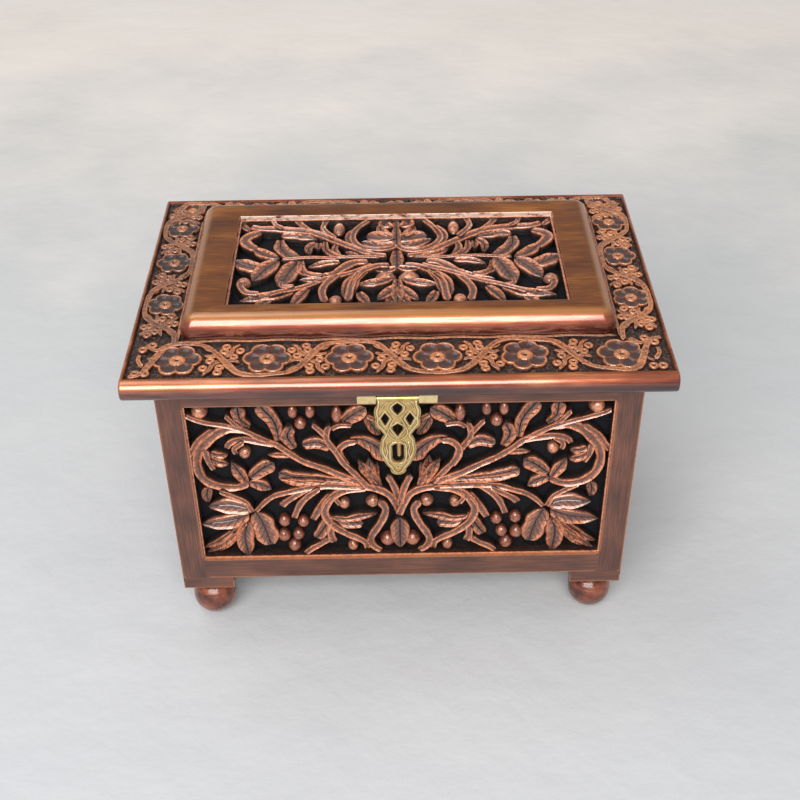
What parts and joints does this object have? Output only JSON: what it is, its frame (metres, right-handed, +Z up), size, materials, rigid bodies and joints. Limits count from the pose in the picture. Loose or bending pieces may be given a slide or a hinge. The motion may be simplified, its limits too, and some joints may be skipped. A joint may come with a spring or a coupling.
{
  "type": "jewelry box",
  "caption": "Carved wooden jewelry box on turned ball feet, with pierced scrollwork panels, a hinged lid with a raised moulded frame and a pierced brass hasp.",
  "frame": {"origin": "on the table, under the middle of the lid's outline", "axes": "+X to the box's left-to-right width seen from the front, +Y from the hasp side to the hinge side, +Z up"},
  "size_m": [0.305, 0.206, 0.216],
  "materials": {
    "frame_wood": "satin lacquered hardwood, dry-brushed copper over dark brown",
    "lid_board_wood": "satin lacquered hardwood, dry-brushed copper over dark brown",
    "raised_moulding_wood": "glossy lacquered hardwood, golden brown",
    "carved_fret_wood": "carved hardwood, copper rims over dark hollows",
    "turned_foot_wood": "turned hardwood, lacquered",
    "dark_board": "thin board stained black, matt",
    "velvet_facing": "flocked velvet facing on thin board",
    "brass": "satin yellow brass, engraved"
  },
  "bodies": {
    "case": {"back_panel": "frame_wood", "bottom_rail_back": "frame_wood", "bottom_rail_front": "frame_wood", "bottom_rail_left": "frame_wood", "bottom_rail_right": "frame_wood", "corner_post_front_left": "frame_wood", "corner_post_front_right": "frame_wood", "corner_post_rear_left": "frame_wood", "corner_post_rear_right": "frame_wood", "floor_board": "dark_board", "floor_lining": "velvet_facing", "foot_block_front_left": "frame_wood", "foot_block_front_right": "frame_wood", "foot_block_rear_left": "frame_wood", "foot_block_rear_right": "frame_wood", "foot_front_left": "turned_foot_wood", "foot_front_right": "turned_foot_wood", "foot_rear_left": "turned_foot_wood", "foot_rear_right": "turned_foot_wood", "fret_panel_front": "carved_fret_wood", "fret_panel_left": "carved_fret_wood", "fret_panel_right": "carved_fret_wood", "hasp_staple": "brass", "hinge_leaf_case_left": "brass", "hinge_leaf_case_right": "brass", "hinge_pin_left": "brass", "hinge_pin_right": "brass", "hinge_screws_case": "brass", "liner_front": "dark_board", "liner_left": "dark_board", "liner_right": "dark_board", "top_rail_back": "frame_wood", "top_rail_front": "frame_wood", "top_rail_left": "frame_wood", "top_rail_right": "frame_wood"},
    "lid": {"hasp_mount_leaf": "brass", "hasp_pin": "brass", "hasp_screws": "brass", "hinge_leaf_lid_left": "brass", "hinge_leaf_lid_right": "brass", "hinge_screws_lid": "brass", "lid_board": "lid_board_wood", "lid_fret_backing": "dark_board", "lid_fret_panel": "carved_fret_wood", "lid_lining": "velvet_facing", "lid_moulding_back": "raised_moulding_wood", "lid_moulding_front": "raised_moulding_wood", "lid_moulding_left": "raised_moulding_wood", "lid_moulding_right": "raised_moulding_wood"},
    "hasp": {"hasp_strap": "brass"}
  },
  "joints": [
    {"name": "lid_hinge", "type": "hinge", "parent": "case", "child": "lid", "pos_m": [0, 0.0913, 0.1886], "axis": [-1, 0, 0], "range_deg": [0, 105]},
    {"name": "hasp_swing", "type": "hinge", "parent": "lid", "child": "hasp", "pos_m": [-0.0013, -0.0974, 0.1873], "axis": [-1, 0, 0], "range_deg": [-7, 105]}
  ]
}
